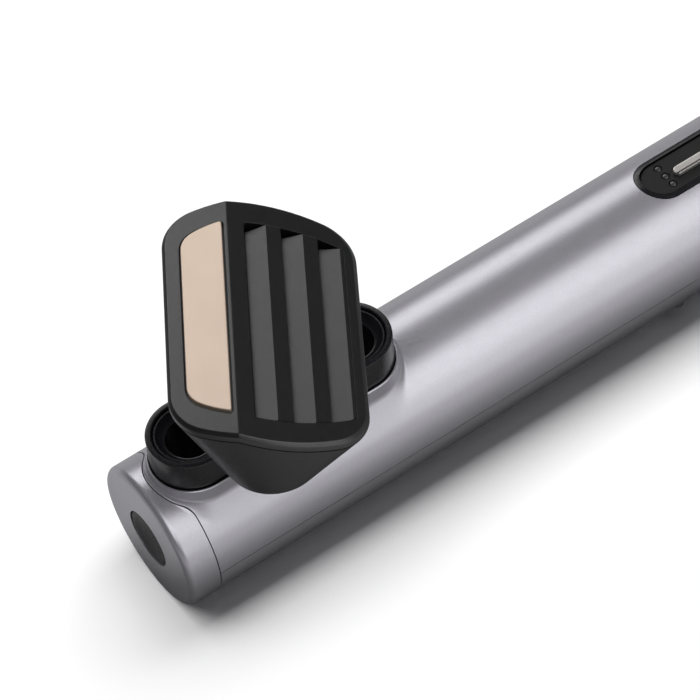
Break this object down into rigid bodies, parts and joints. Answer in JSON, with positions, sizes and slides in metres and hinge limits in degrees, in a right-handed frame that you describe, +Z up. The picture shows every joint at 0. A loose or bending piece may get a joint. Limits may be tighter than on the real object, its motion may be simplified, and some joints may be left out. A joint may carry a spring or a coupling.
{
  "type": "hair styler",
  "caption": "Blower hair styler: a round silver wand whose oblong air collar carries a swivelling dark head with a smooth heated plate and a louvred air outlet.",
  "frame": {"origin": "On the head's swivel axis, at the flat along the wand's underside that the styler rests on", "axes": "+X along the wand from the nose cap towards the cord gland, +Z up the swivel axis out of the air outlet, +Y to the wand's side"},
  "size_m": [0.2931, 0.0792, 0.084],
  "materials": {
    "satin_silver": "satin metallic silver paint",
    "charcoal": "fine matte moulding",
    "black_trim": "semi-gloss",
    "champagne_plate": "champagne ceramic coat",
    "slider_bar": "satin metallic paint",
    "end_button": "satin",
    "lens": "smoked",
    "steel": "plain",
    "bronze": "sintered",
    "mica": "mica sheet",
    "nylon": "natural moulding",
    "rubber": "matte",
    "circuit_board": "solder mask"
  },
  "bodies": {
    "wand": {"upper_shell": "satin_silver", "lower_shell": "satin_silver", "nose_cap": "satin_silver", "button_retainer": "nylon", "outlet_collar": "black_trim", "collar_liner": "black_trim", "swivel_hub": "charcoal", "hub_bush": "bronze", "air_scoop": "nylon", "heater_sleeve": "mica", "mica_frame": "mica", "heating_wire": "steel", "thermal_cutout": "steel", "fan_shroud": "nylon", "mount_band": "rubber", "motor_can": "steel", "control_bezel": "black_trim", "control_floor": "charcoal", "indicator_lens_1": "lens", "indicator_lens_2": "lens", "indicator_lens_3": "lens", "control_board": "circuit_board", "mains_filter": "circuit_board", "shell_screw_1": "steel", "shell_screw_2": "steel", "shell_screw_3": "steel", "shell_screw_4": "steel", "intake_guard": "charcoal", "intake_filter": "steel", "rear_cap": "charcoal", "gland_keeper": "nylon"},
    "head": {"head_housing": "charcoal", "front_cover": "charcoal", "smoothing_plate": "champagne_plate", "plate_insulator": "mica", "louvre_grille": "charcoal", "head_screw_1": "steel", "head_screw_2": "steel", "swivel_pin": "steel", "retaining_clip": "steel"},
    "end_button": {"end_button": "end_button", "button_spring": "steel"},
    "power_slider": {"power_slider": "slider_bar", "slider_carriage": "charcoal"},
    "cool_button": {"cool_button": "charcoal"},
    "rotor": {"fan_wheel": "nylon", "motor_shaft": "steel"},
    "cord_gland": {"cord_gland": "rubber"}
  },
  "joints": [
    {"name": "head_swivel", "type": "hinge", "parent": "wand", "child": "head", "pos_m": [0, 0, 0.0538], "axis": [0, 0, 1], "range_deg": [-58.8, 31.2]},
    {"name": "end_button_press", "type": "slide", "parent": "wand", "child": "end_button", "axis": [1, 0, 0], "range_m": [0, 0.002], "stiffness_N_per_m": 400, "springref_m": -0.001},
    {"name": "power_slider_travel", "type": "slide", "parent": "wand", "child": "power_slider", "axis": [1, 0, 0], "range_m": [0, 0.006]},
    {"name": "cool_button_press", "type": "slide", "parent": "wand", "child": "cool_button", "axis": [0, 0, -1], "range_m": [0, 0.0012], "stiffness_N_per_m": 400, "springref_m": -0.001},
    {"name": "fan_spin", "type": "hinge", "parent": "wand", "child": "rotor", "pos_m": [0.1, 0, 0.0202], "axis": [1, 0, 0], "continuous": true},
    {"name": "gland_swivel", "type": "hinge", "parent": "wand", "child": "cord_gland", "pos_m": [0.2447, 0, 0.0202], "axis": [1, 0, 0], "continuous": true}
  ]
}
